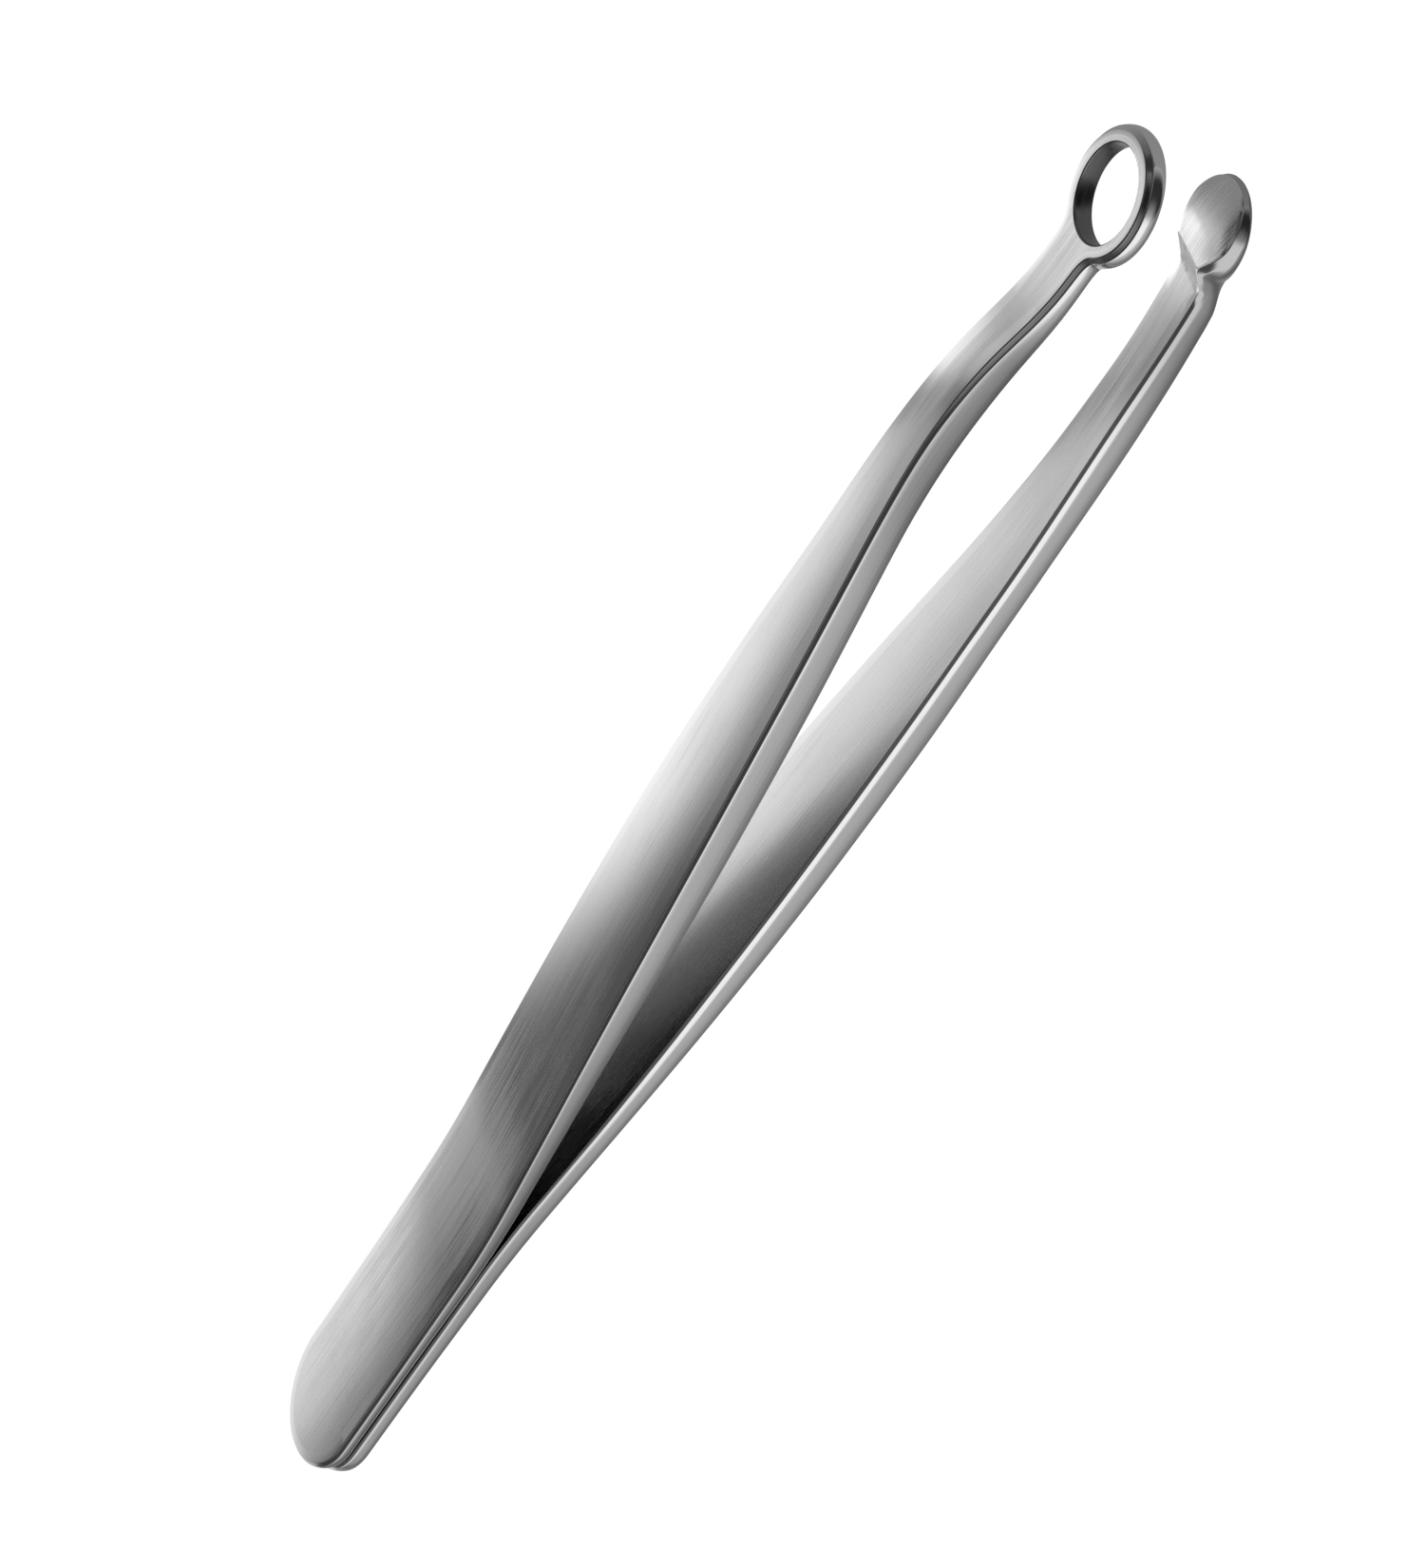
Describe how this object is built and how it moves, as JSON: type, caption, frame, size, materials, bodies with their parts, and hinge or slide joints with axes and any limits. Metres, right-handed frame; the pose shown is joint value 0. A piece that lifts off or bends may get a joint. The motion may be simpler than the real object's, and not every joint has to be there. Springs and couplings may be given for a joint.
{
  "type": "ring-tip tongs",
  "caption": "Sprung steel hand tongs: one arm ends in an open ring, the other in a round pad that closes on it, and both are welded together at the tail.",
  "frame": {"origin": "under the middle of the tongs as they lie on the lower side edges of their arms", "axes": "+X from the tail to the tips, +Y across the opening towards the ring arm, +Z along the width of the arms, up"},
  "size_m": [0.1126, 0.012, 0.0097],
  "materials": {
    "steel": "stainless steel, brushed along the arms, with polished edges and a polished pad"
  },
  "bodies": {
    "tail": {"ring_arm_tail": "steel", "pad_arm_tail": "steel"},
    "ring_arm": {"ring_arm_blade": "steel"},
    "pad_arm": {"pad_arm_blade": "steel"}
  },
  "joints": [
    {"name": "ring_arm_flex", "type": "hinge", "parent": "tail", "child": "ring_arm", "pos_m": [-0.0253, 0.0011, 0.00485], "axis": [0, 0, -1], "range_deg": [-1, 2.05], "stiffness_Nm_per_rad": 1.5},
    {"name": "pad_arm_flex", "type": "hinge", "parent": "tail", "child": "pad_arm", "pos_m": [-0.0253, -0.0012, 0.00485], "axis": [0, 0, 1], "range_deg": [-1, 2.05], "stiffness_Nm_per_rad": 1.5}
  ]
}
